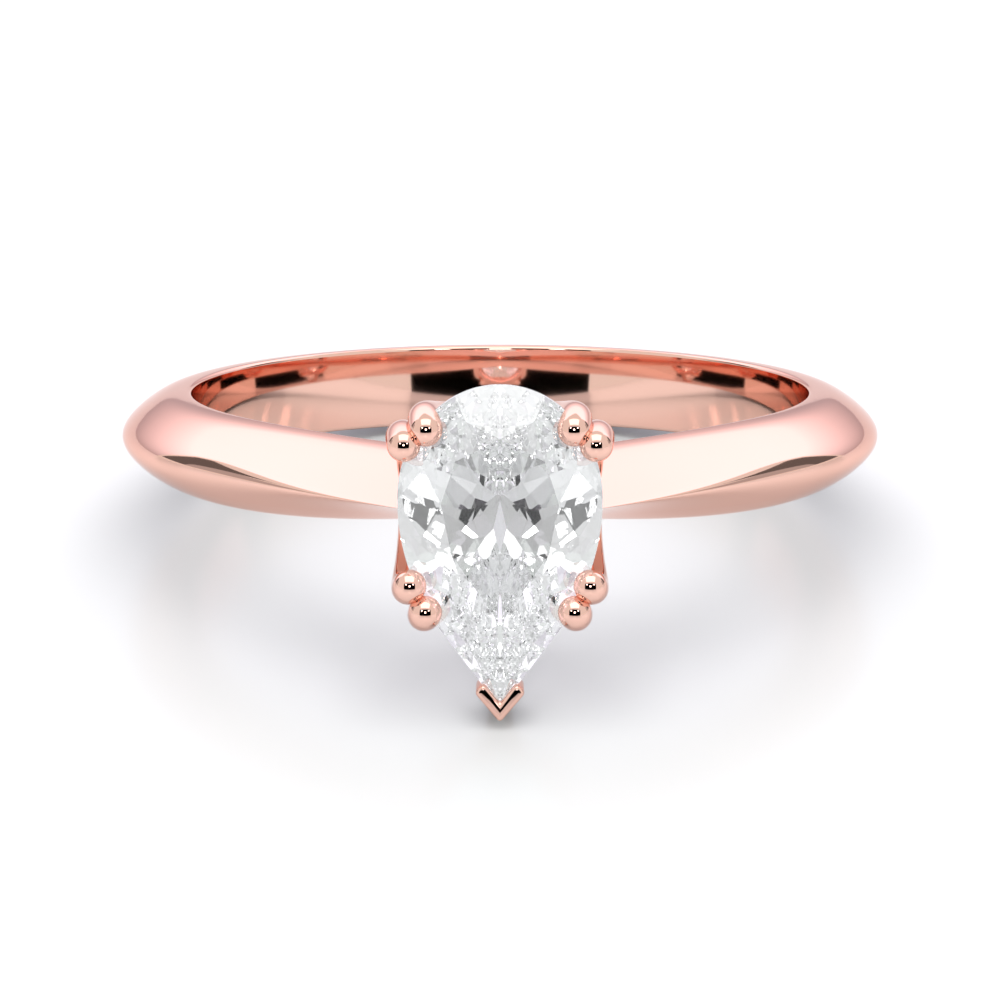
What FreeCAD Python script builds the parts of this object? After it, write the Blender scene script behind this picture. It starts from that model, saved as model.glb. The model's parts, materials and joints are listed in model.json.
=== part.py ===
import FreeCAD, Part
import math
import os

from FreeCAD import Placement, Rotation, Vector
from Sketcher import Constraint

# Pear-cut diamond solitaire engagement ring in rose gold.
#
# The ring is drawn in its own frame: the finger axis is Y, the hoop lies in the XZ plane,
# the stone stands on the +Z side and its point aims along -Y. At the end every piece gets
# the same resting placement: the ring lies on a table, finger axis up, on the rim of the
# hoop opposite the stone and on the claw at the stone's point.

# Driving dimensions in millimetres and degrees: alias, value, what it is.
SIZES = [
    ("inner_radius", 8.5, "finger hole, 17.0 mm across"),
    ("section_foot", 8.0, "foot of the drawn sections, inside the finger hole's wall"),
    ("wall_radius", 9.29, "where the flat side wall of the hoop ends"),
    ("ridge_radius", 10.42, "top of the ridge round the back and sides"),
    ("ridge_round", 0.61, "rounding that the ridge gains from the stone to the sides"),
    ("ridge_least", 0.05, "rounding of the knife edge at the stone"),
    ("round_angle", 70, "angle from the stone from which the ridge is fully round"),
    ("half_width", 1.18, "half the hoop's width across the finger axis"),
    ("taper_start", 55, "angle from the stone where the hoop starts to narrow"),
    ("taper_depth", 0.5, "half width lost by the middle of the head"),
    ("shoulder_start", 50, "angle from the stone where the ridge leaves its circle"),
    ("shoulder_arc", 44.3, "radius of the ridge's rise to the head"),
    ("gap_half", 2.5, "half the gap between the two shoulders"),
    ("bridge_top", 9.3, "height of the bridge that carries the head"),
    ("stone_half_width", 2.5, "half the pear's width"),
    ("stone_round_length", 2.8, "widest place to the round end"),
    ("stone_point_length", 5.2, "widest place to the point"),
    ("stone_widest", 0.29, "place of the widest line along Y"),
    ("belly_radius", 5.6, "radius of the pear's sides"),
    ("girdle_height", 12.4, "underside of the girdle above the finger axis"),
    ("girdle_thickness", 0.16, "thickness of the girdle at the facet meets"),
    ("crown_height", 0.72, "girdle to table"),
    ("pavilion_depth", 2.15, "girdle to culet"),
    ("table_share", 0.57, "table as a share of the outline"),
    ("star_share", 0.5, "star facets as a share of the crown"),
    ("star_drop", 0.1, "least drop from the table to a star facet's outer corner"),
    ("lower_share", 0.22, "where the lower halves start, as a share of the outline"),
    ("claw_radius", 0.41, "claw wire"),
    ("claw_top", 12.8, "centre of the rounded claw tips"),
    ("arch_bottom", 9.95, "centre line of the arches at their lowest"),
    ("arch_bend", 1.5, "bend radius of the arches, so that their legs draw in downwards"),
    ("arch_lean", 5, "lean of each arch towards the middle of the head"),
    ("side_plane", 2.38, "side arches at the claw tips, from the middle"),
    ("side_middle", -0.1, "middle of the side arches along Y"),
    ("side_half", 1.85, "half the distance between a side arch's legs"),
    ("end_half", 1.84, "half the distance between the legs of an end arch"),
    ("back_plane", 2.12, "arch at the round end, at the claw tips"),
    ("front_plane", -2.55, "arch towards the point, at the claw tips"),
    ("gallery_radius", 2.12, "round gallery ring under the arches"),
    ("gallery_wire", 0.3, "wire radius of the gallery ring"),
    ("gallery_height", 9.56, "centre of the gallery wire"),
    ("gallery_middle", -0.22, "middle of the gallery ring along Y"),
    ("point_tip", -5.25, "outside of the V claw's corner"),
    ("point_arm_x", 0.62, "outer corner of the V claw's arms, sideways"),
    ("point_arm_y", -4.47, "outer corner of the V claw's arms, lengthways"),
    ("point_end_x", 0.42, "inner corner of the V claw's arms, sideways"),
    ("point_end_y", -4.27, "inner corner of the V claw's arms, lengthways"),
    ("point_notch", -4.79, "inside of the V claw's corner"),
    ("point_base", 11.75, "underside of the V claw's plate"),
    ("point_top", 12.84, "top of the V claw's plate"),
    ("stem_wire", 0.34, "wire radius of the V claw's stem"),
    ("stem_y", -4.72, "top of the stem along Y"),
    ("stem_slope", 30, "slope of the stem's lower run"),
    ("stem_bend", 0.9, "bend radius of the stem"),
    ("stem_overlap", 0.3, "how far the stem reaches up into the V claw's plate"),
    ("stem_sink", 0.1, "foot of the stem above the middle of the gallery wire"),
    ("stem_foot_y", -2.45, "foot of the stem along Y"),
]

# The same sizes by alias, for choosing which formula a section takes.
GIVEN = {alias: value for alias, value, note in SIZES}

# Angles round the hoop, from the stone, at which the shank's section is drawn.
STATIONS = [0, 8, 16, 24, 32, 40, 50, 60, 75, 90, 105, 120, 135, 150, 165, 180]

# Directions of the stone's main facets, in degrees round the widest line's middle.
MAIN_FACETS = [90, 44, 0, -46, -90, -134, 180, 136]

# A length that reaches past the whole stone from anywhere in it.
BEYOND_STONE = 30

# Names for Sketcher's numbers: which end of an edge, and the origin and upright axis.
START, END, CENTRE = 1, 2, 3
ORIGIN, UPRIGHT = -1, -2

FACE_PLANES = {"top": "XY_Plane", "side": "YZ_Plane", "front": "XZ_Plane"}


def make_sheet(doc):
    """Write the driving dimensions as plain numbers with an alias each."""
    sheet = doc.addObject("Spreadsheet::Sheet", "sizes")
    for row, (alias, value, note) in enumerate(SIZES, start=1):
        sheet.set(f"A{row}", alias)
        sheet.set(f"B{row}", str(value))
        sheet.set(f"C{row}", note)
        sheet.setAlias(f"B{row}", alias)
    doc.recompute()
    return sheet


def bind(thing, formulas):
    """Bind properties of an object to formulas of the sheet's cells."""
    for name, formula in formulas.items():
        thing.setExpression(name, formula)


def sketch_in(body, name, view):
    """Start a sketch on one of the body's own origin planes."""
    sketch = body.newObject("Sketcher::SketchObject", name)
    plane = next(p for p in body.Origin.OriginFeatures if p.Role == FACE_PLANES[view])
    sketch.AttachmentSupport = [(plane, "")]
    sketch.MapMode = "FlatFace"
    return sketch


def constrain(sketch, name, formula, *place):
    """Add a driving constraint, name it and bind it to the sheet."""
    index = sketch.addConstraint(Constraint(*place))
    sketch.renameConstraint(index, name)
    sketch.setExpression("Constraints." + name, formula)


def draw_loop(sketch, points):
    """Draw a closed run of straight edges; corner i is the start of edge i."""
    corners = [Vector(x, y, 0) for x, y in points]
    edges = zip(corners, corners[1:] + corners[:1])
    sketch.addGeometry([Part.LineSegment(a, b) for a, b in edges])
    for i in range(len(corners)):
        sketch.addConstraint(Constraint("Coincident", i, END, (i + 1) % len(corners), START))


def place_corner(sketch, corner, name, across, along):
    """Fix a corner of a loop by its distances from the sketch's origin."""
    constrain(sketch, name + "_across", across, "DistanceX", ORIGIN, START, corner, START, 1.0)
    constrain(sketch, name + "_along", along, "DistanceY", ORIGIN, START, corner, START, 1.0)


# ---------------------------------------------------------------- shank


def half_width_formula(angle):
    """Half the hoop's width at this angle from the stone."""
    if angle >= GIVEN["taper_start"]:
        return "sizes.half_width"
    share = f"((sizes.taper_start - {angle}) / sizes.taper_start)"
    return f"sizes.half_width - sizes.taper_depth * {share} ^ 2"


def ridge_formula(angle):
    """Distance of the ridge from the finger axis, along a ray at this angle."""
    if angle >= GIVEN["shoulder_start"]:
        return "sizes.ridge_radius"
    turn = f"((sizes.shoulder_start - {angle}) * 1deg)"
    reach = "(sizes.shoulder_arc - sizes.ridge_radius)"
    return f"sqrt(sizes.shoulder_arc ^ 2 - ({reach} * sin({turn})) ^ 2) - {reach} * cos({turn})"


def rounding_formula(angle):
    """Rounding of the ridge: a knife edge at the stone, a soft one from the sides on."""
    if angle >= GIVEN["round_angle"]:
        return "sizes.ridge_least + sizes.ridge_round"
    return f"sizes.ridge_least + sizes.ridge_round * ({angle} / sizes.round_angle) ^ 2"


def section_sketch(body, angle):
    """Section of the shank, in the plane turned by angle about the finger axis."""
    sketch = sketch_in(body, f"section_{angle}", "side")
    sketch.AttachmentOffset = Placement(Vector(), Rotation(Vector(1, 0, 0), angle))
    half, foot, wall, ridge, rounding = 1.0, 8.0, 9.0, 10.3, 0.3
    left = [(-rounding, ridge), (-half, wall), (-half, foot)]
    right = [(half, foot), (half, wall), (rounding, ridge)]
    points = [Vector(x, y, 0) for x, y in left + right]
    edges = [Part.LineSegment(a, b) for a, b in zip(points, points[1:])]
    round_top = Part.Circle(Vector(0, ridge - rounding, 0), Vector(0, 0, 1), rounding)
    sketch.addGeometry(edges + [Part.ArcOfCircle(round_top, math.pi / 5, math.pi * 4 / 5)])
    crest = len(edges)
    for i in range(crest - 1):
        sketch.addConstraint(Constraint("Coincident", i, END, i + 1, START))
    sketch.addConstraint(Constraint("Tangent", crest - 1, END, crest, START))
    sketch.addConstraint(Constraint("Tangent", crest, END, 0, START))
    half_formula = half_width_formula(angle)
    place_corner(sketch, 1, "left_wall", f"-({half_formula})", "sizes.wall_radius")
    place_corner(sketch, 2, "left_foot", f"-({half_formula})", "sizes.section_foot")
    place_corner(sketch, 3, "right_foot", half_formula, "sizes.section_foot")
    place_corner(sketch, 4, "right_wall", half_formula, "sizes.wall_radius")
    sketch.addConstraint(Constraint("PointOnObject", crest, CENTRE, UPRIGHT))
    crest_radius = rounding_formula(angle)
    crest_middle = f"{ridge_formula(angle)} - ({crest_radius})"
    constrain(sketch, "rounding", crest_radius, "Radius", crest, rounding)
    constrain(sketch, "ridge", crest_middle, "DistanceY", ORIGIN, START, crest, CENTRE, 1.0)
    return sketch


def make_shank(doc, head):
    """Hoop with a ridge that sharpens up the shoulders, a bridge and room for the head."""
    body = doc.addObject("PartDesign::Body", "shank_body")
    sections = [section_sketch(body, angle) for angle in STATIONS]
    doc.recompute()
    half_hoop = body.newObject("PartDesign::AdditiveLoft", "half_hoop")
    half_hoop.Profile = sections[0]
    half_hoop.Sections = sections[1:]
    doc.recompute()
    whole = body.newObject("PartDesign::Mirrored", "whole_hoop")
    whole.Originals = [half_hoop]
    plane = next(p for p in body.Origin.OriginFeatures if p.Role == FACE_PLANES["side"])
    whole.MirrorPlane = (plane, [""])
    body.Tip = whole
    doc.recompute()

    bore = doc.addObject("Part::Cylinder", "finger_hole")
    bore.Placement = Placement(Vector(), Rotation(Vector(1, 0, 0), 90))
    bind(bore, {
        "Radius": "sizes.inner_radius",
        "Height": "4 * sizes.half_width",
        "Placement.Base.y": "2 * sizes.half_width",
    })
    gap = doc.addObject("Part::Box", "head_gap")
    bind(gap, {
        "Length": "2 * sizes.gap_half",
        "Width": "4 * sizes.half_width",
        "Height": "sizes.ridge_radius",
        "Placement.Base.x": "-sizes.gap_half",
        "Placement.Base.y": "-2 * sizes.half_width",
        "Placement.Base.z": "sizes.bridge_top",
    })
    room = doc.addObject("Part::MultiFuse", "shank_room")
    room.Shapes = [bore, gap] + head
    return cut(doc, "shank", body, room)


# ---------------------------------------------------------------- head


def cut(doc, label, base, tool):
    """Take one piece's room out of another."""
    result = doc.addObject("Part::Cut", label)
    result.Base = base
    result.Tool = tool
    result.Label = label
    return result


def arch_body(doc, name, view, half):
    """A round wire bent to a U whose legs draw in downwards, with rounded claw tips."""
    body = doc.addObject("PartDesign::Body", name + "_wire")
    path = sketch_in(body, name + "_path", view)
    path.addGeometry([
        Part.LineSegment(Vector(-1.9, 0, 0), Vector(-1.5, -1.2, 0)),
        Part.ArcOfCircle(Part.Circle(Vector(0, -1.2, 0), Vector(0, 0, 1), 1.5),
                         math.pi * 1.05, math.pi * 1.95),
        Part.LineSegment(Vector(1.5, -1.2, 0), Vector(1.9, 0, 0)),
    ])
    path.addConstraint(Constraint("Tangent", 0, END, 1, START))
    path.addConstraint(Constraint("Tangent", 1, END, 2, START))
    bend = "sizes.arch_bottom - sizes.claw_top + sizes.arch_bend"
    constrain(path, "bend", "sizes.arch_bend", "Radius", 1, 1.5)
    constrain(path, "bend_across", "0", "DistanceX", ORIGIN, START, 1, CENTRE, 1.0)
    constrain(path, "bend_along", bend, "DistanceY", ORIGIN, START, 1, CENTRE, -1.0)
    for edge, end, name_end, sign in ((0, START, "near", "-"), (2, END, "far", "")):
        constrain(path, name_end + "_across", sign + half, "DistanceX", ORIGIN, START, edge, end, 1.0)
        constrain(path, name_end + "_along", "0", "DistanceY", ORIGIN, START, edge, end, 1.0)
    doc.recompute()
    wire = body.newObject("Sketcher::SketchObject", name + "_section")
    wire.AttachmentSupport = [(path, "Edge1")]
    wire.MapMode = "NormalToEdge"
    wire.addGeometry(Part.Circle(Vector(0, 0, 0), Vector(0, 0, 1), 0.4))
    constrain(wire, "wire", "sizes.claw_radius", "Radius", 0, 0.4)
    wire.addConstraint(Constraint("Coincident", 0, CENTRE, ORIGIN, START))
    doc.recompute()
    bow = body.newObject("PartDesign::AdditivePipe", name + "_bow")
    bow.Profile = wire
    bow.Spine = (path, ["Edge1", "Edge2", "Edge3"])
    doc.recompute()
    direction = "y" if view == "side" else "x"
    for end, sign in (("near", "-"), ("far", "")):
        tip = body.newObject("PartDesign::AdditiveSphere", f"{name}_{end}_tip")
        bind(tip, {
            "Radius": "sizes.claw_radius",
            f"Placement.Base.{direction}": sign + half,
        })
        doc.recompute()
    return body


def make_arches(doc, room):
    """Four arches whose ends stand in pairs as the eight claws; the end ones fit the side ones."""
    plans = [
        ("side_arch_left", "side", "-sizes.side_plane", "sizes.side_middle", Vector(0, -1, 0)),
        ("side_arch_right", "side", "sizes.side_plane", "sizes.side_middle", Vector(0, 1, 0)),
        ("back_arch", "front", "0", "sizes.back_plane", Vector(-1, 0, 0)),
        ("front_arch", "front", "0", "sizes.front_plane", Vector(1, 0, 0)),
    ]
    arches = []
    for name, view, across, along, turn in plans:
        half = "sizes.side_half" if view == "side" else "sizes.end_half"
        body = arch_body(doc, name, view, half)
        body.Placement = Placement(Vector(), Rotation(turn, 1))
        bind(body, {
            "Placement.Base.x": across,
            "Placement.Base.y": along,
            "Placement.Base.z": "sizes.claw_top",
            "Placement.Rotation.Angle": "sizes.arch_lean",
        })
        arches.append(cut(doc, name, body, room))
        if len(arches) == 2:
            doc.recompute()
            pair_room = doc.addObject("Part::MultiFuse", "end_arch_room")
            pair_room.Shapes = [room] + arches
            room = pair_room
    return arches


def make_gallery_ring(doc):
    """Round ring of wire on the bridge; the arches and the V claw's stem stand on it."""
    ring = doc.addObject("Part::Torus", "gallery_ring")
    ring.Label = "gallery_ring"
    bind(ring, {
        "Radius1": "sizes.gallery_radius",
        "Radius2": "sizes.gallery_wire",
        "Placement.Base.y": "sizes.gallery_middle",
        "Placement.Base.z": "sizes.gallery_height",
    })
    return ring


def make_point_claw(doc, room):
    """V claw round the stone's point, on a bent stem of round wire."""
    body = doc.addObject("PartDesign::Body", "point_claw_body")
    plate = sketch_in(body, "v_outline", "top")
    bind(plate, {"AttachmentOffset.Base.z": "sizes.point_base"})
    draw_loop(plate, [(0, -5), (0.6, -4.4), (0.4, -4.2), (0, -4.7), (-0.4, -4.2), (-0.6, -4.4)])
    place_corner(plate, 0, "tip", "0", "sizes.point_tip")
    place_corner(plate, 1, "right_arm", "sizes.point_arm_x", "sizes.point_arm_y")
    place_corner(plate, 2, "right_end", "sizes.point_end_x", "sizes.point_end_y")
    place_corner(plate, 3, "notch", "0", "sizes.point_notch")
    place_corner(plate, 4, "left_end", "-sizes.point_end_x", "sizes.point_end_y")
    place_corner(plate, 5, "left_arm", "-sizes.point_arm_x", "sizes.point_arm_y")
    doc.recompute()
    vee = body.newObject("PartDesign::Pad", "vee")
    vee.Profile = plate
    bind(vee, {"Length": "sizes.point_top - sizes.point_base"})
    doc.recompute()

    path = sketch_in(body, "stem_path", "side")
    path.addGeometry([
        Part.LineSegment(Vector(-4.7, 12, 0), Vector(-4.7, 11.3, 0)),
        Part.ArcOfCircle(Part.Circle(Vector(-3.8, 11.3, 0), Vector(0, 0, 1), 0.9),
                         math.pi, math.pi + 1.0),
        Part.LineSegment(Vector(-4.3, 10.5, 0), Vector(-2.5, 9.6, 0)),
    ])
    path.addConstraint(Constraint("Tangent", 0, END, 1, START))
    path.addConstraint(Constraint("Tangent", 1, END, 2, START))
    path.addConstraint(Constraint("Vertical", 0))
    constrain(path, "bend", "sizes.stem_bend", "Radius", 1, 0.9)
    constrain(path, "top_y", "sizes.stem_y", "DistanceX", ORIGIN, START, 0, START, 1.0)
    top = "sizes.point_base + sizes.stem_overlap"
    constrain(path, "top_z", top, "DistanceY", ORIGIN, START, 0, START, 1.0)
    constrain(path, "foot_y", "sizes.stem_foot_y", "DistanceX", ORIGIN, START, 2, END, 1.0)
    foot = "(sizes.gallery_height + sizes.stem_sink)"
    slope = "(sizes.stem_slope * 1deg)"
    run = f"(sizes.stem_foot_y - sizes.stem_y - sizes.stem_bend * (1 - sin({slope})))"
    bend_z = f"{foot} + {run} * tan({slope}) + sizes.stem_bend * cos({slope})"
    constrain(path, "foot_z", foot, "DistanceY", ORIGIN, START, 2, END, 1.0)
    constrain(path, "bend_z", bend_z, "DistanceY", ORIGIN, START, 1, CENTRE, 1.0)
    wire = sketch_in(body, "stem_section", "top")
    bind(wire, {"AttachmentOffset.Base.z": top})
    wire.addGeometry(Part.Circle(Vector(0, -4.7, 0), Vector(0, 0, 1), 0.3))
    constrain(wire, "wire", "sizes.stem_wire", "Radius", 0, 0.3)
    constrain(wire, "across", "0", "DistanceX", ORIGIN, START, 0, CENTRE, 1.0)
    constrain(wire, "along", "sizes.stem_y", "DistanceY", ORIGIN, START, 0, CENTRE, -1.0)
    doc.recompute()
    stem = body.newObject("PartDesign::AdditivePipe", "stem")
    stem.Profile = wire
    stem.Spine = (path, ["Edge1", "Edge2", "Edge3"])
    doc.recompute()
    return cut(doc, "point_claw", body, room)


# ---------------------------------------------------------------- stone


class PearStone:
    """Places on a pear brilliant, worked out from the sheet."""

    def __init__(self, sheet):
        self.half = sheet.stone_half_width
        self.round = sheet.stone_round_length
        self.point = sheet.stone_point_length
        self.middle = sheet.stone_widest
        self.belly = sheet.belly_radius
        self.girdle = sheet.girdle_height
        self.crown_foot = self.girdle + sheet.girdle_thickness
        self.table = self.crown_foot + sheet.crown_height
        self.culet = Vector(0, self.middle, self.girdle - sheet.pavilion_depth)
        self.table_share = sheet.table_share
        self.star_share = sheet.table_share + (1 - sheet.table_share) * sheet.star_share
        self.star_drop = sheet.star_drop
        self.lower_share = sheet.lower_share
        self.wire = self.outline()

    def outline(self):
        """Half an ellipse for the round end, an arc and a straight run down each side."""
        flat = Vector(0, 0, 1)
        ellipse = Part.Ellipse(Vector(0, self.round, 0), Vector(self.half, 0, 0), Vector())
        head = Part.ArcOfEllipse(ellipse, -math.pi / 2, math.pi / 2).toShape()
        centre = Vector(self.half - self.belly, 0, 0)
        point = Vector(0, -self.point, 0)
        # The straight run leaves the arc where it points at the stone's point.
        away = point - centre
        touch = math.atan2(-away.y, away.x) - math.acos(self.belly / away.Length)
        join = centre + Vector(math.cos(touch), -math.sin(touch), 0) * self.belly
        arc = Part.ArcOfCircle(Part.Circle(centre, flat, self.belly), -touch, 0).toShape()
        run = Part.LineSegment(join, point).toShape()
        right = [arc, run]
        left = [edge.mirror(Vector(), Vector(1, 0, 0)) for edge in right]
        edges = Part.__sortEdges__([head] + right + left)
        wire = Part.Wire(edges)
        wire.translate(Vector(0, self.middle, 0))
        return wire

    def on_outline(self, angle, height):
        """Where a ray from the widest line's middle leaves the outline."""
        turn = math.radians(angle)
        ray = Part.LineSegment(
            Vector(0, self.middle, 0),
            Vector(math.cos(turn), math.sin(turn), 0) * BEYOND_STONE + Vector(0, self.middle, 0),
        ).toShape()
        hit = self.wire.distToShape(ray)[1][0][0]
        return Vector(hit.x, hit.y, height)

    def along(self, angle):
        """Direction of the outline at that place."""
        a, b = self.on_outline(angle - 1, 0), self.on_outline(angle + 1, 0)
        return (b - a).normalize()

    def inside(self, angle, share, height):
        """A place that share of the way out to the outline."""
        edge = self.on_outline(angle, height)
        return Vector(edge.x * share, self.middle + (edge.y - self.middle) * share, height)


def plane_height(point, normal, place):
    """Height of a plane above a place."""
    flat = (place.x - point.x) * normal.x + (place.y - point.y) * normal.y
    return point.z - flat / normal.z


def facing(normal, up):
    return normal if (normal.z > 0) == up else normal * -1


def grind(shape, point, normal):
    """Take away everything beyond a plane."""
    side = BEYOND_STONE
    wheel = Part.makeBox(side, side, side, Vector(-side / 2, -side / 2, 0))
    wheel.Placement = Placement(point, Rotation(Vector(0, 0, 1), normal))
    return shape.cut(wheel)


def facet_planes(stone):
    """Point and outward normal of every crown and pavilion facet."""
    planes = []
    count = len(MAIN_FACETS)
    crown, pavilion = {}, {}
    for angle in MAIN_FACETS:
        run = stone.along(angle)
        top = stone.inside(angle, stone.table_share, stone.table)
        high = stone.on_outline(angle, stone.crown_foot)
        crown[angle] = (high, facing(run.cross(top - high).normalize(), True))
        low = stone.on_outline(angle, stone.girdle)
        pavilion[angle] = (low, facing(run.cross(stone.culet - low).normalize(), False))
    planes += list(crown.values()) + list(pavilion.values())
    for i, angle in enumerate(MAIN_FACETS):
        other = MAIN_FACETS[(i + 1) % count]
        gap = (other - angle + 180) % 360 - 180
        half = angle + gap / 2
        star = stone.inside(half, stone.star_share, 0)
        star.z = max(plane_height(*crown[angle], star), plane_height(*crown[other], star))
        star.z = min(star.z, stone.table - stone.star_drop)
        table_a = stone.inside(angle, stone.table_share, stone.table)
        table_b = stone.inside(other, stone.table_share, stone.table)
        planes.append((star, facing((table_a - star).cross(table_b - star).normalize(), True)))
        lower = stone.inside(half, stone.lower_share, 0)
        lower.z = max(plane_height(*pavilion[angle], lower), plane_height(*pavilion[other], lower))
        for main in (angle, other):
            for tip, height, up in ((star, stone.crown_foot, True), (lower, stone.girdle, False)):
                a, b = stone.on_outline(main, height), stone.on_outline(half, height)
                planes.append((a, facing((b - a).cross(tip - a).normalize(), up)))
    return planes


def make_diamond(doc, sheet):
    """Pear brilliant: a pear-shaped prism with its facets ground on."""
    stone = PearStone(sheet)
    shape = Part.Face(stone.wire).extrude(Vector(0, 0, stone.table - stone.culet.z))
    shape.translate(Vector(0, 0, stone.culet.z))
    for point, normal in facet_planes(stone):
        shape = grind(shape, point, normal)
    diamond = doc.addObject("Part::Feature", "diamond")
    diamond.Label = "diamond"
    diamond.Shape = shape.Solids[0]
    return diamond


# ---------------------------------------------------------------- assembly


def resting_placement(pieces, sheet):
    """Lie the ring on the hoop's far rim and the V claw, its footprint's middle at the origin."""
    drop = -sheet.point_tip - sheet.half_width
    tilt = math.degrees(math.atan2(drop, sheet.point_base + sheet.wall_radius))
    turned = Placement(Vector(), Rotation(Vector(1, 0, 0), 90 - tilt))
    whole = Part.Compound([piece.Shape for piece in pieces])
    whole.Placement = turned
    box = whole.optimalBoundingBox(False)
    turned.Base = Vector(-box.Center.x, -box.Center.y, -box.ZMin)
    return turned


def check_document(doc, pieces):
    for thing in doc.Objects:
        if "Invalid" in thing.State or "Error" in thing.State:
            raise RuntimeError(f"{thing.Name} did not compute: {thing.State}")
    for piece in pieces:
        if piece.Shape.isNull() or not piece.Shape.isValid():
            raise RuntimeError(f"{piece.Label} has no valid shape")


def main():
    doc = FreeCAD.newDocument("engagement_ring")
    sheet = make_sheet(doc)
    diamond = make_diamond(doc, sheet)
    ring = make_gallery_ring(doc)
    room = doc.addObject("Part::MultiFuse", "head_room")
    room.Shapes = [diamond, ring]
    arches = make_arches(doc, room)
    doc.recompute()
    stem_room = doc.addObject("Part::MultiFuse", "stem_room")
    stem_room.Shapes = [diamond, ring, arches[3]]
    point_claw = make_point_claw(doc, stem_room)
    shank = make_shank(doc, [ring] + arches)
    doc.recompute()
    pieces = [shank, ring] + arches + [point_claw, diamond]
    check_document(doc, pieces)

    rest = resting_placement(pieces, sheet)
    os.makedirs("parts", exist_ok=True)
    for piece in pieces:
        for name, formula in piece.ExpressionEngine:
            if name.startswith("Placement"):
                piece.setExpression(name, None)
        piece.Placement = rest.multiply(piece.Placement)
    check_document(doc, pieces)
    for piece in pieces:
        piece.Shape.exportStep(f"parts/{piece.Label}.step")
        box = piece.Shape.BoundBox
        print(piece.Label, len(piece.Shape.Solids), "solids", round(piece.Shape.Volume, 3), "mm3",
              [round(v, 2) for v in (box.XMin, box.YMin, box.ZMin, box.XMax, box.YMax, box.ZMax)])


main()
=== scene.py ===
import json
import math

import bmesh
import bpy
from mathutils import Matrix, Vector


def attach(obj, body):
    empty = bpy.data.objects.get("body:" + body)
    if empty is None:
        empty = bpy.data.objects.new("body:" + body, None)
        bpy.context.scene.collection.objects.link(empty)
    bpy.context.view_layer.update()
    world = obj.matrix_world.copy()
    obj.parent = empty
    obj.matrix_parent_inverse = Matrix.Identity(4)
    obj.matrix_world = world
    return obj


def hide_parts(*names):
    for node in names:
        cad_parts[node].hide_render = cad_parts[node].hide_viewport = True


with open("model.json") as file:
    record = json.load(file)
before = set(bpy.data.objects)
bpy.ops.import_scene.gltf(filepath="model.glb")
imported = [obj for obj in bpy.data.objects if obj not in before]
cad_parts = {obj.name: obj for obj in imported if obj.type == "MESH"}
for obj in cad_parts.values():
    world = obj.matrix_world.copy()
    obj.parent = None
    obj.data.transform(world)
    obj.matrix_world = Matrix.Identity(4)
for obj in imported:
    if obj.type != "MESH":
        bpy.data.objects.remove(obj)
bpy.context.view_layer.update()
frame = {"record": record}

# Every piece is shaped in millimetres in the ring's own frame, with the finger axis along Y,
# the stone on the +Z side and its point towards -Y. set_in_place() scales it to metres and
# lays it on the table as the CAD model lies.
MM = 0.001

# Points of a mesh nearer than this are one point, and a cut snaps to points nearer than that.
MERGE = 1e-4
SNAP = 1e-5

# Shank: radii from the finger axis, and angles from the stone in degrees. Everything beyond
# OUTER_FROM belongs to the outer surface.
BORE_RADIUS = 8.5
OUTER_FROM = BORE_RADIUS + 0.2
WALL_RADIUS = 9.29
RIDGE_RADIUS = 10.42
RIDGE_SOFTNESS = 1.38
KNIFE_SOFTNESS = 0.03
KNIFE_END = 12.0
SOFT_START = 70.0
SOFT_GAIN = 1.25
HALF_WIDTH = 1.18
TAPER_START = 55.0
TAPER_DEPTH = 0.5
SHOULDER_START = 50.0
SHOULDER_ARC = 44.3
BORE_CORNER = 0.1
POLISHED_FROM = 0.8
POLISH_PASSES = 30
SECTION_CUTS = 63
HOOP_STEPS = 480
GAP_HALF = 2.5
BRIDGE_TOP = 9.3

# Stone: heights from the finger axis, and lengths from its widest line.
STONE_HALF_WIDTH = 2.5
STONE_ROUND_LENGTH = 2.8
STONE_POINT_LENGTH = 5.2
STONE_WIDEST = 0.29
BELLY_RADIUS = 5.6
GIRDLE_HEIGHT = 12.4
GIRDLE_THICKNESS = 0.16
CROWN_HEIGHT = 0.72
PAVILION_DEPTH = 2.15
TABLE_SHARE = 0.57
STAR_SHARE = 0.785
STAR_DROP = 0.1
MAIN_FACETS = [90, 44, 0, -46, -90, -134, 180, 136]
# Rows of pavilion facets: share of the way out from the culet, how many stand round it, and the
# part of a step by which the row is turned.
PAVILION_ROWS = [(0.12, 8, 0.0), (0.4, 16, 0.5), (0.62, 24, 0.0), (0.8, 32, 0.5), (0.97, 40, 0.0)]
PAVILION_SWELL = 0.12
POINT_SWELL = 0.75
SEAT_CLEARANCE = 0.012

# Head: wire radii, and heights from the finger axis. An arch's wire is bent round control points
# at these heights.
CLAW_RADIUS = 0.41
CLAW_TOP = 12.8
CLAW_NECK = CLAW_TOP - 0.3
CLAW_THROAT = CLAW_TOP - 0.7
CLAW_FOOT = CLAW_TOP - 1.6
ARCH_BEND = 9.95
ARCH_FLOOR = 9.8
GALLERY_RADIUS = 2.12
GALLERY_WIRE = 0.3
GALLERY_HEIGHT = 9.56
GALLERY_MIDDLE = -0.22

POINT_OUTLINE = [(0, -5.25), (0.64, -4.48), (0.4, -4.24), (0, -4.77), (-0.4, -4.24), (-0.64, -4.48)]
POINT_BASE = 11.75
POINT_TOP = 12.84
POINT_EDGE = 0.12
STEM_WIRE = 0.34

# Studio: the strength at the foot of a screen that brightens upwards.
DIM_FOOT = 0.6

# Camera: distance from the finger axis, tilt over the hoop, and the place that it aims at.
VIEW_DISTANCE = 100.0
VIEW_TILT = math.radians(10.19)
AIM_BELOW_AXIS = -1.956
LENS = 129.8
SENSOR = 36.0


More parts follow.
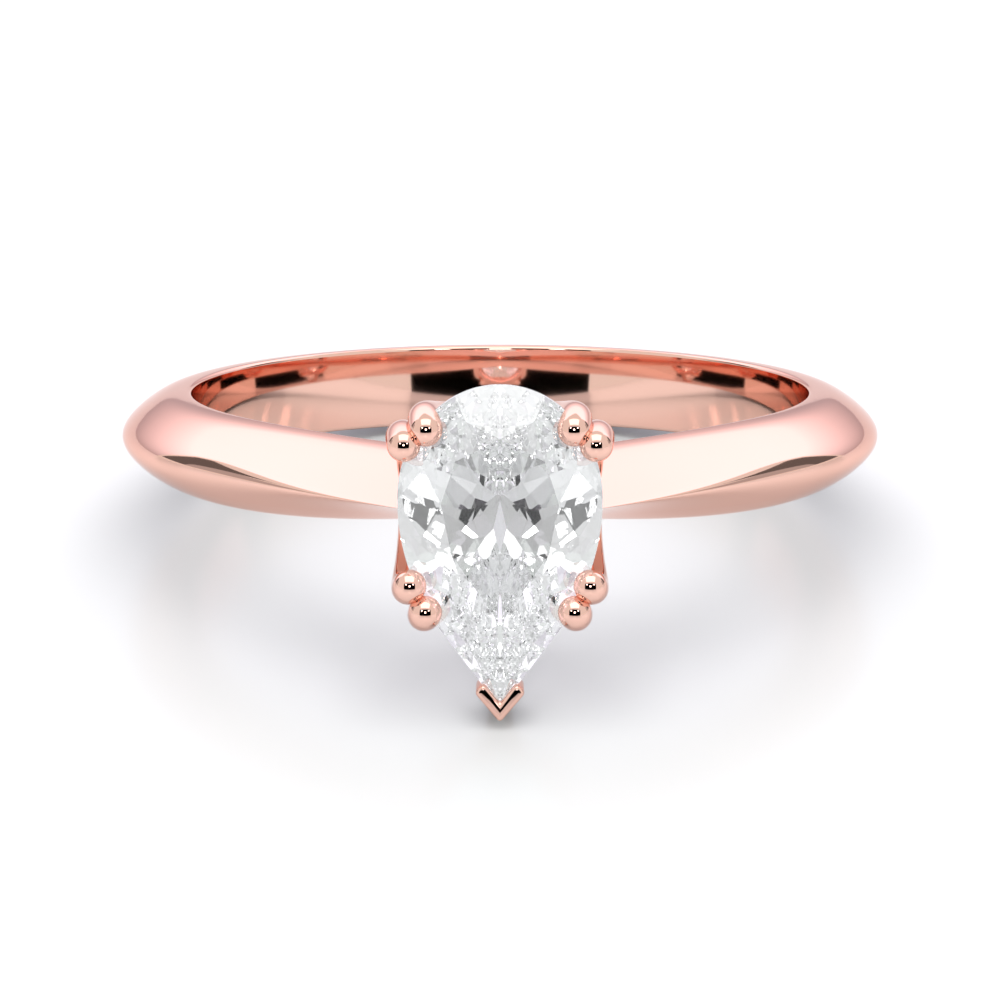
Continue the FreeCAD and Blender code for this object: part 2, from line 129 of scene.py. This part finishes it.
def ring_frame():
    """The ring's own frame on the table, from the finger hole's place in the record."""
    hole = next(m for m in frame["record"]["mounts"] if m["name"] == "finger_hole")
    sideways = Vector((1, 0, 0))
    finger = Vector(hole["axis"]).normalized()
    stone = sideways.cross(finger)
    turn = Matrix((sideways, finger, stone)).transposed().to_4x4()
    return Matrix.Translation(Vector(hole["pos_m"])) @ turn @ Matrix.Scale(MM, 4)


RING = ring_frame()


# ------------------------------------------------------------ bench tools


def mark_edges(bm, sharp_angle):
    """Smooth shading with crisp edges where faces meet more steeply than the angle."""
    for face in bm.faces:
        face.smooth = True
    for edge in bm.edges:
        edge.smooth = len(edge.link_faces) == 2 and edge.calc_face_angle(0.0) < sharp_angle


def set_in_place(bm, name, node, material, slot, sharp_angle=math.radians(32)):
    """Turn a shaped mesh into a piece of the ring that stands for its CAD node."""
    bmesh.ops.recalc_face_normals(bm, faces=bm.faces)
    mark_edges(bm, sharp_angle)
    bmesh.ops.transform(bm, matrix=RING, verts=bm.verts)
    mesh = bpy.data.meshes.new(name)
    bm.to_mesh(mesh)
    bm.free()
    piece = bpy.data.objects.new(name, mesh)
    bpy.context.scene.collection.objects.link(piece)
    mesh.materials.append(material)
    # Light that leaves the stone sees only the white studio, so no gold shows through its facets.
    piece.visible_transmission = slot == "diamond"
    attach(piece, "root")
    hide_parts(node)
    return piece


def combine(bm, tool, operation):
    """Join a second shape to the first, or cut it away; both are freed, the result is returned."""
    objects = []
    for shape in (bm, tool):
        bmesh.ops.recalc_face_normals(shape, faces=shape.faces)
        mesh = bpy.data.meshes.new("bench")
        shape.to_mesh(mesh)
        shape.free()
        thing = bpy.data.objects.new("bench", mesh)
        bpy.context.scene.collection.objects.link(thing)
        objects.append(thing)
    work, other = objects
    step = work.modifiers.new("combine", "BOOLEAN")
    step.operation = operation
    step.solver = "EXACT"
    step.object = other
    seen = work.evaluated_get(bpy.context.evaluated_depsgraph_get())
    result = bmesh.new()
    result.from_mesh(seen.to_mesh())
    seen.to_mesh_clear()
    for thing in objects:
        mesh = thing.data
        bpy.data.objects.remove(thing)
        bpy.data.meshes.remove(mesh)
    bmesh.ops.remove_doubles(result, verts=result.verts, dist=SNAP)
    return result


def lift_face(bm, faces, height):
    """Raise a flat outline to a block of this height."""
    top = bmesh.ops.extrude_face_region(bm, geom=faces)["geom"]
    verts = [g for g in top if isinstance(g, bmesh.types.BMVert)]
    bmesh.ops.translate(bm, vec=(0, 0, height), verts=verts)


def smooth_line(points):
    """Points of the smooth curve that a wire bent round these control points follows."""
    curve = bpy.data.curves.new("bend", "CURVE")
    curve.dimensions = "3D"
    spline = curve.splines.new("NURBS")
    spline.points.add(len(points) - 1)
    for knot, place in zip(spline.points, points):
        knot.co = (*place, 1.0)
    spline.order_u = 4
    spline.use_endpoint_u = True
    spline.resolution_u = 16
    thing = bpy.data.objects.new("bend", curve)
    mesh = bpy.data.meshes.new_from_object(thing)
    line = [v.co.copy() for v in mesh.vertices]
    bpy.data.objects.remove(thing)
    bpy.data.curves.remove(curve)
    bpy.data.meshes.remove(mesh)
    return line


def draw_wire(line, radius, sides=48, tip_steps=12):
    """Round wire along a line of points, with both ends filed to half a ball."""
    ahead = [(b - a).normalized() for a, b in zip(line, line[1:])]
    runs = [ahead[0]] + [(a + b).normalized() for a, b in zip(ahead, ahead[1:])] + [ahead[-1]]
    nearly_flat = 1.55
    rounding = [math.radians(90 * i / tip_steps) for i in range(1, tip_steps)] + [nearly_flat]
    stations = []
    for a in rounding[::-1]:
        stations.append((line[0] - runs[0] * radius * math.sin(a), runs[0], math.cos(a)))
    stations += [(place, run, 1.0) for place, run in zip(line, runs)]
    for a in rounding:
        stations.append((line[-1] + runs[-1] * radius * math.sin(a), runs[-1], math.cos(a)))

    bm = bmesh.new()
    bmesh.ops.create_circle(bm, cap_ends=True, radius=1.0, segments=sides)
    turn = Vector((0, 0, 1)).rotation_difference(stations[0][1]).to_matrix().to_4x4()
    before = None
    run_before = stations[0][1]
    for place, run, share in stations:
        turn = run_before.rotation_difference(run).to_matrix().to_4x4() @ turn
        here = Matrix.Translation(place) @ turn @ Matrix.Scale(radius * share, 4)
        if before is None:
            bmesh.ops.transform(bm, matrix=here, verts=bm.verts)
            edges = bm.edges[:]
        else:
            made = bmesh.ops.extrude_edge_only(bm, edges=edges)["geom"]
            verts = [g for g in made if isinstance(g, bmesh.types.BMVert)]
            ring = set(verts)
            edges = [g for g in made if isinstance(g, bmesh.types.BMEdge) and ring.issuperset(g.verts)]
            bmesh.ops.transform(bm, matrix=here @ before.inverted(), verts=verts)
        before, run_before = here, run
    bmesh.ops.contextual_create(bm, geom=edges)
    return bm


# ------------------------------------------------------------ shank


def ridge_at(angle):
    """Distance of the knife edge from the finger axis at this angle from the stone."""
    if angle >= SHOULDER_START:
        return RIDGE_RADIUS
    turn = math.radians(SHOULDER_START - angle)
    reach = SHOULDER_ARC - RIDGE_RADIUS
    return math.sqrt(SHOULDER_ARC ** 2 - (reach * math.sin(turn)) ** 2) - reach * math.cos(turn)


def half_width_at(angle):
    """Half the hoop's width at this angle: it narrows towards the head."""
    share = max(0.0, (TAPER_START - angle) / TAPER_START)
    return HALF_WIDTH - TAPER_DEPTH * share ** 2


def softness_at(angle):
    """How round the ridge is at this angle: a knife edge at the head, a soft one at the sides."""
    share = min(max((angle - KNIFE_END) / (SOFT_START - KNIFE_END), 0.0), 1.0)
    return KNIFE_SOFTNESS + (RIDGE_SOFTNESS - KNIFE_SOFTNESS) * share ** SOFT_GAIN


def outer_radius(y, angle):
    """Distance of the outer surface from the finger axis, at a share of the half width."""
    soft, ridge = softness_at(angle), ridge_at(angle)
    slope = math.sqrt((ridge - WALL_RADIUS + soft) ** 2 - soft ** 2)
    return ridge + soft - math.hypot(slope * y, soft)


def hoop_section():
    """Outline of the hoop's section at its side, its corners rounded by polishing."""
    bm = bmesh.new()
    corners = [(-1, BORE_RADIUS), (1, BORE_RADIUS), (1, WALL_RADIUS), (-1, WALL_RADIUS)]
    verts = [bm.verts.new((0, side * HALF_WIDTH, z)) for side, z in corners]
    bm.faces.new(verts)
    bmesh.ops.bevel(bm, geom=verts[:2], offset=BORE_CORNER, offset_type="OFFSET", segments=6,
                    profile=0.5, affect="VERTICES", material=-1)
    bmesh.ops.delete(bm, geom=bm.faces[:], context="FACES_ONLY")
    # The two walls are longer than the corner's steps, and shorter than the bore and the top.
    walls = [e for e in bm.edges if 0.3 < e.calc_length() < 1]
    bmesh.ops.subdivide_edges(bm, edges=walls, cuts=7)
    flat = [e for e in bm.edges if all(v.co.z > WALL_RADIUS - MERGE for v in e.verts)]
    bmesh.ops.subdivide_edges(bm, edges=flat, cuts=SECTION_CUTS)
    for vert in bm.verts:
        if vert.co.z > WALL_RADIUS - MERGE:
            # More points lie near the ridge, where the surface turns most.
            share = abs(vert.co.y / HALF_WIDTH) ** 1.5
            vert.co.z = outer_radius(share, 90)
            vert.co.y = math.copysign(share * HALF_WIDTH, vert.co.y)
    soft = [v for v in bm.verts if abs(v.co.y) > POLISHED_FROM and v.co.z > OUTER_FROM]
    for _ in range(POLISH_PASSES):
        bmesh.ops.smooth_vert(bm, verts=soft, factor=0.5,
                              use_axis_x=True, use_axis_y=True, use_axis_z=True)
    return bm


def make_shank(gold):
    """Hoop with a ridge that sharpens up the shoulders to the head, and a bridge between them."""
    bm = hoop_section()
    bmesh.ops.spin(bm, geom=bm.verts[:] + bm.edges[:], cent=(0, 0, 0), axis=(0, 1, 0), dvec=(0, 0, 0),
                   angle=2 * math.pi, steps=HOOP_STEPS, use_merge=True)
    bmesh.ops.remove_doubles(bm, verts=bm.verts, dist=MERGE)
    for vert in bm.verts:
        x, y, z = vert.co
        angle = math.degrees(math.atan2(abs(x), z))
        radius = math.hypot(x, z)
        share = min(abs(y) / HALF_WIDTH, 1.0)
        if radius > OUTER_FROM:
            grown = radius + outer_radius(share, angle) - outer_radius(share, 90)
            vert.co.x, vert.co.z = x * grown / radius, z * grown / radius
        vert.co.y = y * half_width_at(angle) / HALF_WIDTH
    open_head_gap(bm)
    return set_in_place(bm, "ridged_shank", "shank", gold, "rose_gold")


def open_head_gap(bm):
    """Saw out the room for the head between the shoulders, down to the bridge."""
    def faces_above(height):
        middles = [(f, f.calc_center_median()) for f in bm.faces]
        return [f for f, middle in middles if middle.z > height and abs(middle.x) < GAP_HALF]

    for side in (-1, 1):
        bmesh.ops.bisect_plane(bm, geom=bm.verts[:] + bm.edges[:] + bm.faces[:], dist=SNAP,
                               plane_co=(side * GAP_HALF, 0, 0), plane_no=(side, 0, 0))
    parts = {g for f in faces_above(0) for g in (*f.verts, *f.edges, f)}
    bmesh.ops.bisect_plane(bm, geom=list(parts), dist=SNAP,
                           plane_co=(0, 0, BRIDGE_TOP), plane_no=(0, 0, 1))
    gone = faces_above(BRIDGE_TOP)
    bmesh.ops.delete(bm, geom=gone, context="FACES")
    rim = [e for e in bm.edges if len(e.link_faces) == 1]
    floor = [e for e in rim if all(abs(v.co.z - BRIDGE_TOP) < 1e-3 for v in e.verts)]
    for side in (-1, 1):
        wall = [e for e in rim if e not in floor and all(v.co.x * side > 0 for v in e.verts)]
        ends = [v for e in wall for v in e.verts if sum(v in w.verts for w in wall) == 1]
        step = bm.edges.new(ends)
        bmesh.ops.contextual_create(bm, geom=wall + [step])
        floor.append(step)
    bmesh.ops.contextual_create(bm, geom=floor)


# ------------------------------------------------------------ stone


def belly_at(depth):
    """Half the stone's width at this distance from its widest line towards the point."""
    centre = STONE_HALF_WIDTH - BELLY_RADIUS
    away = Vector((-centre, -STONE_POINT_LENGTH))
    touch = math.atan2(STONE_POINT_LENGTH, -centre) - math.acos(BELLY_RADIUS / away.length)
    if depth <= BELLY_RADIUS * math.sin(touch):
        return centre + math.sqrt(BELLY_RADIUS ** 2 - depth ** 2)
    return max(0.0, (STONE_POINT_LENGTH - depth) / math.tan(math.pi / 2 - touch))


def on_outline(angle, height, share=1.0):
    """Where a ray from the middle of the widest line meets the outline, or a share of the way."""
    along, up = math.cos(math.radians(angle)), math.sin(math.radians(angle))
    if up >= 0:
        reach = 1 / math.hypot(along / STONE_HALF_WIDTH, up / STONE_ROUND_LENGTH)
    else:
        low, high = 0.0, STONE_POINT_LENGTH
        for _ in range(50):
            reach = (low + high) / 2
            inside = abs(along) * reach < belly_at(-up * reach) and -up * reach < STONE_POINT_LENGTH
            low, high = (reach, high) if inside else (low, reach)
    return Vector((along * reach * share, STONE_WIDEST + up * reach * share, height))


def plane_height(plane, place):
    """Height of a plane above or below a place."""
    point, normal = plane
    return point.z - ((place.x - point.x) * normal.x + (place.y - point.y) * normal.y) / normal.z


def upward(normal, up=1):
    """The normal at unit length, turned to the upper side, or to the lower one where up is -1."""
    return normal.normalized() if normal.z * up > 0 else -normal.normalized()


def crown_facets():
    """Point and outward normal of every facet between the girdle and the table."""
    foot = GIRDLE_HEIGHT + GIRDLE_THICKNESS
    table = foot + CROWN_HEIGHT
    mains = {}
    for angle in MAIN_FACETS:
        run = on_outline(angle + 1, 0) - on_outline(angle - 1, 0)
        edge = on_outline(angle, foot)
        mains[angle] = (edge, upward(run.cross(on_outline(angle, table, TABLE_SHARE) - edge)))
    planes = [*mains.values()]
    for angle, other in zip(MAIN_FACETS, MAIN_FACETS[1:] + MAIN_FACETS[:1]):
        half = angle + ((other - angle + 180) % 360 - 180) / 2
        star = on_outline(half, 0, STAR_SHARE)
        star.z = min(max(plane_height(mains[a], star) for a in (angle, other)), table - STAR_DROP)
        corners = [on_outline(a, table, TABLE_SHARE) - star for a in (angle, other)]
        planes.append((star, upward(corners[0].cross(corners[1]))))
        for main in (angle, other):
            a, b = on_outline(main, foot), on_outline(half, foot)
            planes.append((a, upward((b - a).cross(star - a))))
    return planes


def on_pavilion(angle, share):
    """A place on the rounded form that the pavilion's facets touch; it swells towards the point."""
    down = max(0.0, -math.sin(math.radians(angle)))
    swell = PAVILION_SWELL + (POINT_SWELL - PAVILION_SWELL) * down ** 3
    depth = PAVILION_DEPTH * (1 - share) * (1 + swell * share)
    return on_outline(angle, GIRDLE_HEIGHT - depth, share)


def pavilion_facets():
    """Point and outward normal of every facet below the girdle, row by row from the culet."""
    planes = []
    for share, count, stagger in PAVILION_ROWS:
        for i in range(count):
            angle = 90 + 360 * (i + stagger) / count
            place = on_pavilion(angle, share)
            round_way = on_pavilion(angle + 2, share) - on_pavilion(angle - 2, share)
            out_way = on_pavilion(angle, share + 0.02) - on_pavilion(angle, share - 0.02)
            planes.append((place, upward(round_way.cross(out_way), -1)))
    return planes


def grind(bm, point, normal):
    """Grind one flat facet: take away what stands beyond its plane and close the cut."""
    cut = bmesh.ops.bisect_plane(bm, geom=bm.verts[:] + bm.edges[:] + bm.faces[:], dist=SNAP,
                                 plane_co=point, plane_no=normal, clear_outer=True)["geom_cut"]
    edges = [g for g in cut if isinstance(g, bmesh.types.BMEdge) and len(g.link_faces) == 1]
    if edges:
        bmesh.ops.contextual_create(bm, geom=edges)


def stone_shape(extra=0.0):
    """Pear brilliant: a pear-shaped blank with its facets ground on one by one."""
    bm = bmesh.new()
    base = GIRDLE_HEIGHT - PAVILION_DEPTH - extra
    bmesh.ops.create_circle(bm, cap_ends=True, radius=1.0, segments=128)
    for vert in bm.verts:
        angle = math.degrees(math.atan2(vert.co.y, vert.co.x))
        vert.co = on_outline(angle, base, 1 + extra / STONE_HALF_WIDTH)
    height = PAVILION_DEPTH + GIRDLE_THICKNESS + CROWN_HEIGHT + 2 * extra
    lift_face(bm, bm.faces[:], height)
    for point, normal in crown_facets() + pavilion_facets():
        grind(bm, point + normal * extra, normal)
    bmesh.ops.remove_doubles(bm, verts=bm.verts, dist=MERGE)
    bmesh.ops.dissolve_degenerate(bm, edges=bm.edges, dist=MERGE)
    return bm


def make_stone(diamond):
    piece = set_in_place(stone_shape(), "pear_brilliant", "diamond", diamond, "diamond", math.radians(1))
    for face in piece.data.polygons:
        face.use_smooth = False
    # Light reaches the table through the stone, which a solid shadow would hide.
    piece.visible_shadow = False
    return piece


# ------------------------------------------------------------ head


def seat(wire):
    """File the stone's seat into a claw."""
    return combine(wire, stone_shape(SEAT_CLEARANCE), "DIFFERENCE")


def side_arch(side):
    """One wire bent to a U beside the stone; its rounded ends are the two outer claws."""
    return smooth_line([
        Vector((2.33 * side, 1.66, CLAW_TOP)),
        Vector((2.37 * side, 1.75, CLAW_NECK)),
        Vector((2.39 * side, 1.78, CLAW_THROAT)),
        Vector((2.33 * side, 1.64, CLAW_FOOT)),
        Vector((2.2 * side, 1.25, ARCH_BEND)),
        Vector((2.1 * side, -0.1, ARCH_FLOOR)),
        Vector((2.16 * side, -1.45, ARCH_BEND)),
        Vector((2.24 * side, -1.84, CLAW_FOOT)),
        Vector((2.27 * side, -2.0, CLAW_THROAT)),
        Vector((2.25 * side, -1.95, CLAW_NECK)),
        Vector((2.2 * side, -1.82, CLAW_TOP)),
    ])


def end_arch(tip_x, tip_y, out):
    """One wire bent to a U across the ring; its rounded ends are two inner claws.

    The legs bulge outwards by out below the tips, and draw in again to the bend.
    """
    right = [
        Vector((tip_x, tip_y, CLAW_TOP)),
        Vector((tip_x + 0.04, tip_y + out * 0.6, CLAW_NECK)),
        Vector((tip_x + 0.06, tip_y + out * 0.8, CLAW_THROAT)),
        Vector((tip_x - 0.04, tip_y + out * 0.3, CLAW_FOOT)),
        Vector((1.4, tip_y - out * 0.7, ARCH_BEND)),
    ]
    left = [Vector((-p.x, p.y, p.z)) for p in right[::-1]]
    return smooth_line(right + [Vector((0, tip_y - out * 0.9, ARCH_FLOOR))] + left)


def make_arches(gold):
    """The four arches whose ends are the eight claws."""
    lines = {
        "side_arch_left": side_arch(-1),
        "side_arch_right": side_arch(1),
        "back_arch": end_arch(1.79, 2.04, 0.24),
        "front_arch": end_arch(1.82, -2.47, -0.24),
    }
    for node, line in lines.items():
        bm = seat(draw_wire(line, CLAW_RADIUS))
        set_in_place(bm, node + "_wire", node, gold, "rose_gold")


def make_gallery_ring(gold):
    """Round wire ring on the bridge, under the arches."""
    bm = bmesh.new()
    upright = Matrix.Translation((GALLERY_RADIUS, 0, 0)) @ Matrix.Rotation(math.pi / 2, 4, "X")
    bmesh.ops.create_circle(bm, cap_ends=False, radius=GALLERY_WIRE, segments=32, matrix=upright)
    bmesh.ops.spin(bm, geom=bm.verts[:] + bm.edges[:], cent=(0, 0, 0), axis=(0, 0, 1), dvec=(0, 0, 0),
                   angle=2 * math.pi, steps=128, use_merge=True)
    bmesh.ops.remove_doubles(bm, verts=bm.verts, dist=MERGE)
    bmesh.ops.translate(bm, vec=(0, GALLERY_MIDDLE, GALLERY_HEIGHT), verts=bm.verts)
    set_in_place(bm, "gallery_wire_ring", "gallery_ring", gold, "rose_gold")


def make_point_claw(gold):
    """V claw round the stone's point, its edges polished round, on a bent stem."""
    bm = bmesh.new()
    face = bm.faces.new([bm.verts.new((x, y, POINT_BASE)) for x, y in POINT_OUTLINE])
    lift_face(bm, [face], POINT_TOP - POINT_BASE)
    bmesh.ops.bevel(bm, geom=bm.edges[:], offset=POINT_EDGE, offset_type="OFFSET", segments=8,
                    profile=0.5, affect="EDGES", material=-1)
    stem = draw_wire(smooth_line([
        Vector((0, -4.72, 12.1)),
        Vector((0, -4.74, 11.6)),
        Vector((0, -4.68, 10.95)),
        Vector((0, -3.9, 10.35)),
        Vector((0, -2.9, 9.85)),
        Vector((0, -2.35, 9.62)),
    ]), STEM_WIRE)
    bm = seat(combine(bm, stem, "UNION"))
    set_in_place(bm, "point_v_claw", "point_claw", gold, "rose_gold")


# ------------------------------------------------------------ finishes


def new_material(name):
    material = bpy.data.materials.new(name)
    material.use_nodes = True
    tree = material.node_tree
    return material, tree, tree.nodes["Principled BSDF"]


def speckle(tree, scale, detail=2.0):
    """Noise that stays with the piece; scale is in waves per metre."""
    place = tree.nodes.new("ShaderNodeTexCoord")
    noise = tree.nodes.new("ShaderNodeTexNoise")
    noise.inputs["Scale"].default_value = scale
    noise.inputs["Detail"].default_value = detail
    tree.links.new(place.outputs["Object"], noise.inputs["Vector"])
    return noise


def cloud_colour(tree, shader, cloud, dark, light):
    """Let the colour drift between two tones with the cloud."""
    tone = tree.nodes.new("ShaderNodeMix")
    tone.data_type = "RGBA"
    tone.inputs["A"].default_value = (*dark, 1)
    tone.inputs["B"].default_value = (*light, 1)
    tree.links.new(cloud.outputs["Fac"], tone.inputs["Factor"])
    tree.links.new(tone.outputs["Result"], shader.inputs["Base Color"])


def polished_rose_gold():
    """High polish: a faint cloudiness of alloy and buffing, and hair-fine polishing marks."""
    material, tree, shader = new_material("polished_rose_gold")
    shader.inputs["Metallic"].default_value = 1.0
    shader.inputs["Specular Tint"].default_value = (0.86, 0.74, 0.7, 1)
    cloud = speckle(tree, 260.0, 3.0)
    cloud_colour(tree, shader, cloud, (0.9, 0.555, 0.458), (0.92, 0.578, 0.482))
    buff = tree.nodes.new("ShaderNodeMapRange")
    buff.inputs["To Min"].default_value = 0.03
    buff.inputs["To Max"].default_value = 0.075
    tree.links.new(cloud.outputs["Fac"], buff.inputs["Value"])
    tree.links.new(buff.outputs["Result"], shader.inputs["Roughness"])
    marks = speckle(tree, 9000.0)
    relief = tree.nodes.new("ShaderNodeBump")
    relief.inputs["Strength"].default_value = 0.02
    relief.inputs["Distance"].default_value = 0.000002
    tree.links.new(marks.outputs["Fac"], relief.inputs["Height"])
    tree.links.new(relief.outputs["Normal"], shader.inputs["Normal"])
    return material


def clear_diamond():
    """Diamond, almost colourless, with the faintest cloud of colour through the stone."""
    material, tree, shader = new_material("clear_diamond")
    shader.inputs["Transmission Weight"].default_value = 1.0
    shader.inputs["IOR"].default_value = 2.417
    shader.inputs["Roughness"].default_value = 0.0
    cloud_colour(tree, shader, speckle(tree, 900.0), (0.81, 0.82, 0.828), (0.825, 0.83, 0.828))
    return material


# ------------------------------------------------------------ table, light and camera


def table_top():
    """Plain white table with the least shine."""
    bm = bmesh.new()
    bmesh.ops.create_grid(bm, x_segments=1, y_segments=1, size=3.0)
    mesh = bpy.data.meshes.new("table_top")
    bm.to_mesh(mesh)
    bm.free()
    floor = bpy.data.objects.new("table_top", mesh)
    bpy.context.scene.collection.objects.link(floor)
    material, tree, shader = new_material("white_table")
    cloud_colour(tree, shader, speckle(tree, 40.0), (0.875, 0.877, 0.88), (0.885, 0.887, 0.89))
    shader.inputs["Roughness"].default_value = 0.25
    shader.inputs["Specular IOR Level"].default_value = 0.25
    mesh.materials.append(material)


def glowing(name, strength, low, high, tint=(1, 1, 1)):
    """Even glow, or one that rises from dim at the low height to full strength at the high one."""
    material = bpy.data.materials.new(name)
    material.use_nodes = True
    tree = material.node_tree
    tree.nodes.clear()
    glow = tree.nodes.new("ShaderNodeEmission")
    glow.inputs["Color"].default_value = (*tint, 1)
    glow.inputs["Strength"].default_value = strength
    if high > low:
        place = tree.nodes.new("ShaderNodeTexCoord")
        split = tree.nodes.new("ShaderNodeSeparateXYZ")
        level = tree.nodes.new("ShaderNodeMapRange")
        level.inputs["From Min"].default_value = low
        level.inputs["From Max"].default_value = high
        level.inputs["To Min"].default_value = DIM_FOOT
        level.inputs["To Max"].default_value = strength
        tree.links.new(place.outputs["Object"], split.inputs["Vector"])
        tree.links.new(split.outputs["Z"], level.inputs["Value"])
        tree.links.new(level.outputs["Result"], glow.inputs["Strength"])
    out = tree.nodes.new("ShaderNodeOutputMaterial")
    tree.links.new(glow.outputs["Emission"], out.inputs["Surface"])
    return material


def hang(bm, name, material, only_for=None, shades=True):
    """Hang a shape in the studio, seen only as light and in reflections, or in reflections alone."""
    mesh = bpy.data.meshes.new(name)
    bm.to_mesh(mesh)
    bm.free()
    mesh.materials.append(material)
    board = bpy.data.objects.new(name, mesh)
    bpy.context.scene.collection.objects.link(board)
    board.visible_camera = False
    board.visible_shadow = shades
    board.visible_diffuse = shades
    if only_for:
        board.light_linking.receiver_collection = only_for


def card(name, place, aim, width, height, strength, only_for=None, shades=True):
    """A flat card that faces a point."""
    bm = bmesh.new()
    bmesh.ops.create_grid(bm, x_segments=1, y_segments=1, size=0.5)
    turn = (Vector(aim) - Vector(place)).to_track_quat("Z", "Y").to_matrix().to_4x4()
    size = Matrix.Diagonal((width, height, 1, 1))
    bmesh.ops.transform(bm, matrix=Matrix.Translation(Vector(place)) @ turn @ size, verts=bm.verts)
    hang(bm, name, glowing(name, strength, 0, 0), only_for, shades)


def screen(name, start, end, radius, low, high, strength, fade_to=0.0, tint=(1, 1, 1)):
    """A curved screen round the table; bearing 0 is the camera's side and 180 the back."""
    bm = bmesh.new()
    turn = math.radians(start)
    foot = Vector((radius * math.sin(turn), -radius * math.cos(turn), 0))
    edge = [bm.verts.new(foot + Vector((0, 0, z))) for z in (low, high)]
    bm.edges.new(edge)
    bmesh.ops.spin(bm, geom=bm.verts[:] + bm.edges[:], cent=(0, 0, 0), axis=(0, 0, 1), dvec=(0, 0, 0),
                   angle=math.radians(end - start), steps=24, use_merge=False)
    hang(bm, name, glowing(name, strength, low, fade_to, tint))


def studio(eye, middle, stone):
    """White tent, bright panels behind and overhead, and dark cards for the metal to reflect.

    Bearings are in degrees and lengths in metres, and a strength of 1 is a plain white glow. The
    front card glows for the stone alone, so the metal sees it as black.
    """
    world = bpy.data.worlds.new("white_tent")
    bpy.context.scene.world = world
    world.use_nodes = True
    sky = world.node_tree.nodes["Background"]
    sky.inputs["Color"].default_value = (0.97, 1.0, 0.98, 1)
    sky.inputs["Strength"].default_value = 0.92
    white_for_stone = bpy.data.collections.new("white_for_stone")
    white_for_stone.objects.link(stone)
    screen("back_screen", 124, 236, 0.4, 0.0, 0.42, 1.75, fade_to=0.2, tint=(1, 0.945, 1.05))
    card("overhead_panel", (0, -0.09, 0.36), (0, 0, 0), 0.4, 0.3, 2.0)
    for side in (-1, 1):
        screen("side_card", side * 108, side * 122, 0.3, 0.02, 0.165, 0.15)
        screen("grey_card", side * 92, side * 108, 0.3, 0.02, 0.13, 0.5)
    look = (middle - eye).normalized()
    up = Vector((1, 0, 0)).cross(look)
    back = eye - look * 0.035
    card("front_card", back - up * 0.012, middle, 0.2, 0.12, 0.78, only_for=white_for_stone,
         shades=False)
    card("dark_card", back + look * 0.001 - up * 0.02, middle, 0.06, 0.09, 0.0, shades=False)
    # Three small lamps on the card put the points of light on the claws.
    for across, rise, size in ((0.0, 0.0, 0.02), (-0.055, 0.026, 0.015), (0.055, 0.026, 0.015)):
        lamp = back + look * 0.002 + Vector((across, 0, 0)) + up * rise
        card("card_lamp", lamp, middle, size, size, 9.0)


def make_camera():
    """Long lens, looking down on the stone and a little over the hoop."""
    away = Vector((0, math.sin(VIEW_TILT), math.cos(VIEW_TILT)))
    up = Vector((0, math.cos(VIEW_TILT), -math.sin(VIEW_TILT)))
    place = up * AIM_BELOW_AXIS + away * VIEW_DISTANCE
    turn = RING.to_3x3().normalized() @ Matrix((Vector((1, 0, 0)), up, away)).transposed()
    data = bpy.data.cameras.new("camera")
    data.lens = LENS
    data.sensor_width = SENSOR
    data.clip_start = 0.001
    camera = bpy.data.objects.new("camera", data)
    camera.matrix_world = Matrix.Translation(RING @ place) @ turn.to_4x4()
    bpy.context.scene.collection.objects.link(camera)
    bpy.context.scene.camera = camera
    return RING @ place, RING @ (up * AIM_BELOW_AXIS)


gold = polished_rose_gold()
make_shank(gold)
make_gallery_ring(gold)
make_arches(gold)
make_point_claw(gold)
stone = make_stone(clear_diamond())
table_top()
eye, middle = make_camera()
studio(eye, middle, stone)

scene = bpy.context.scene
scene.view_settings.view_transform = "Standard"
scene.cycles.max_bounces = 40
scene.cycles.transmission_bounces = 40
scene.cycles.glossy_bounces = 40
scene.cycles.caustics_reflective = False
scene.cycles.caustics_refractive = False
